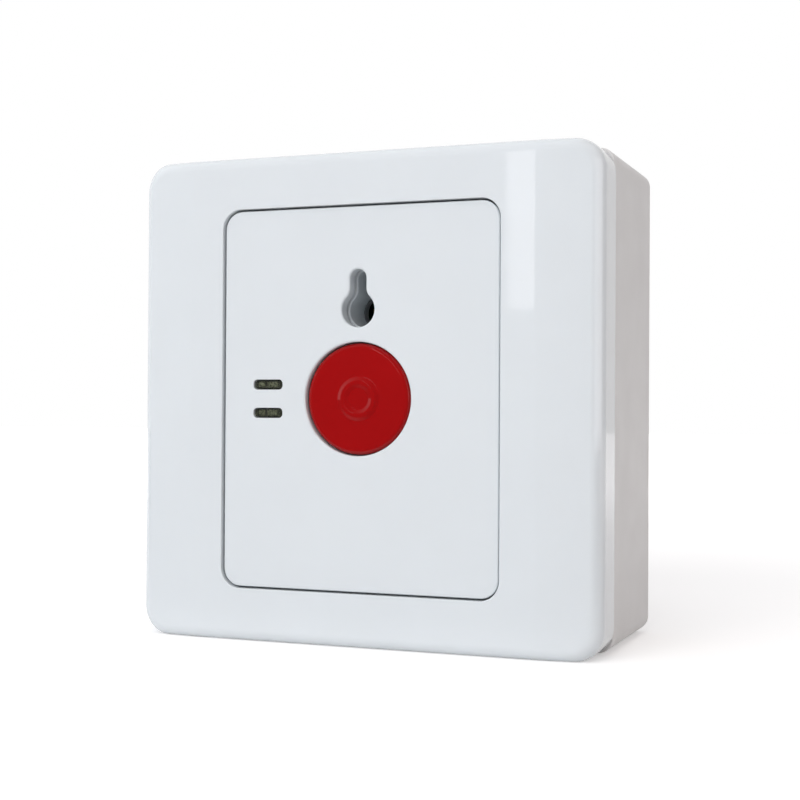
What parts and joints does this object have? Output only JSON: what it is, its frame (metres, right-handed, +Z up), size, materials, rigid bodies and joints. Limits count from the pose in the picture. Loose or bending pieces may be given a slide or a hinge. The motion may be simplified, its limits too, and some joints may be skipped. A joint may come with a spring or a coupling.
{
  "type": "emergency call button station",
  "caption": "Square wall-mounted emergency call station: white faceplate on a deep surface box, red push button, key release and indicator lights.",
  "frame": {"origin": "centre of the wall box's rear face, which lies flat on the wall", "axes": "+X to the right of someone facing it, +Y into the wall, +Z up; the front faces -Y"},
  "size_m": [0.086, 0.04, 0.086],
  "materials": {
    "white_plastic": "moulded, high gloss",
    "box_plastic": "moulded, fine satin grain",
    "yoke_plastic": "moulded, satin",
    "black_plastic": "moulded, satin",
    "grey_plastic": "moulded, satin",
    "blue_plastic": "moulded, satin",
    "red_plastic": "moulded, gloss",
    "clear_epoxy": "cast, clear",
    "board_laminate": "solder mask, satin",
    "resistor_lacquer": "dipped lacquer",
    "spring_steel": "drawn wire",
    "plated_steel": "zinc plated",
    "brass": "turned and pressed"
  },
  "bodies": {
    "station": {"front_frame": "white_plastic", "centre_panel": "white_plastic", "surface_box": "box_plastic", "mounting_yoke": "yoke_plastic", "key_guide": "white_plastic", "switch_housing": "grey_plastic", "return_spring": "spring_steel", "latch_spring": "spring_steel", "micro_switch": "black_plastic", "lever_pin": "plated_steel", "circuit_board": "board_laminate", "terminal_block": "blue_plastic", "led_upper": "clear_epoxy", "led_lower": "clear_epoxy", "resistor_1": "resistor_lacquer", "resistor_2": "resistor_lacquer", "switch_terminal_1": "brass", "switch_terminal_2": "brass", "switch_terminal_3": "brass", "terminal_screw_1": "plated_steel", "terminal_clamp_1": "brass", "housing_screw_1": "plated_steel", "board_screw_1": "plated_steel", "terminal_screw_2": "plated_steel", "terminal_clamp_2": "brass", "housing_screw_2": "plated_steel", "board_screw_2": "plated_steel", "terminal_screw_3": "plated_steel", "terminal_clamp_3": "brass", "housing_screw_3": "plated_steel", "board_screw_3": "plated_steel", "terminal_screw_4": "plated_steel", "terminal_clamp_4": "brass", "housing_screw_4": "plated_steel", "board_screw_4": "plated_steel", "mounting_screw_left": "plated_steel", "insert_left": "brass", "mounting_screw_right": "plated_steel", "insert_right": "brass"},
    "button": {"push_button": "red_plastic", "button_stem": "black_plastic"},
    "latch": {"latch_slide": "plated_steel"},
    "lever": {"switch_lever": "plated_steel"},
    "plunger": {"switch_plunger": "red_plastic"}
  },
  "joints": [
    {"name": "button_press", "type": "slide", "parent": "station", "child": "button", "axis": [0, 1, 0], "range_m": [0, 0.0035], "stiffness_N_per_m": 100, "springref_m": -0.003, "deforming": ["return_spring"]},
    {"name": "lever_swing", "type": "hinge", "parent": "station", "child": "lever", "pos_m": [-0.0115, -0.01974, 0], "axis": [0, 0, 1], "range_deg": [0, 16.3]},
    {"name": "plunger_slide", "type": "slide", "parent": "station", "child": "plunger", "axis": [0, 1, 0], "range_m": [0, 0.0012]},
    {"name": "latch_release", "type": "slide", "parent": "station", "child": "latch", "axis": [0, 0, 1], "range_m": [0, 0.0015], "stiffness_N_per_m": 60, "springref_m": -0.002, "deforming": ["latch_spring"]}
  ],
  "couplings": [
    {"joint": "lever_swing", "follows": "button_press", "rad_per_m": 81.28},
    {"joint": "plunger_slide", "follows": "button_press", "ratio": 0.34}
  ]
}
